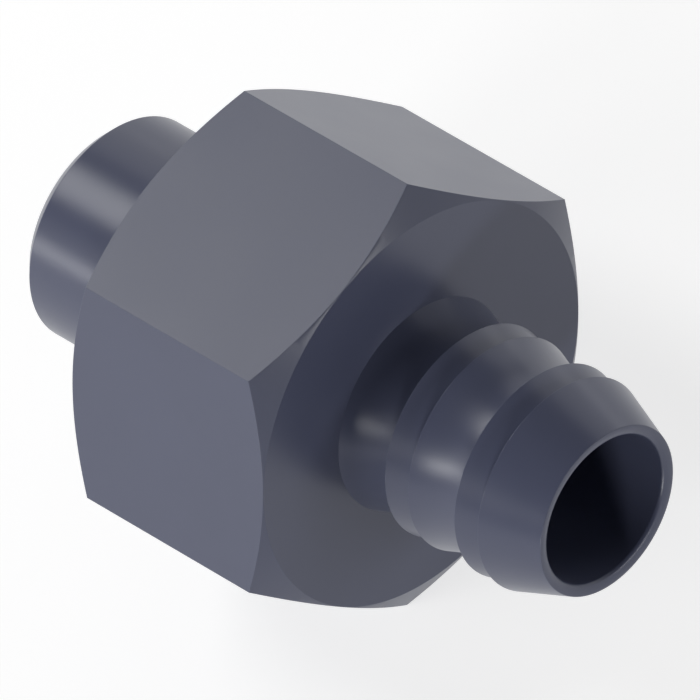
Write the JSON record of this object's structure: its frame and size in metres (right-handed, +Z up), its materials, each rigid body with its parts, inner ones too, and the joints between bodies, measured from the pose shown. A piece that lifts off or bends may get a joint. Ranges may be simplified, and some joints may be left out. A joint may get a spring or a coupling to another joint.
{
  "type": "pvc spigot adapter",
  "caption": "Grey rigid plastic pipe adapter: a plain spigot with a lead-in, a hexagon with turned-down corners and a barbed hose tail, all around a straight through bore.",
  "frame": {"origin": "on the bore's axis, in the hexagon's end face that the hose tail leaves", "axes": "+X along the bore's axis towards the mouth of the hose tail; +Z up, square to the hexagon flat that it lies on; +Y towards a corner of the hexagon"},
  "size_m": [0.0575, 0.042, 0.0362],
  "materials": {
    "grey_pvc": "satin moulded rigid PVC, blue-grey"
  },
  "bodies": {
    "root": {"adapter_body": "grey_pvc"}
  },
  "joints": []
}
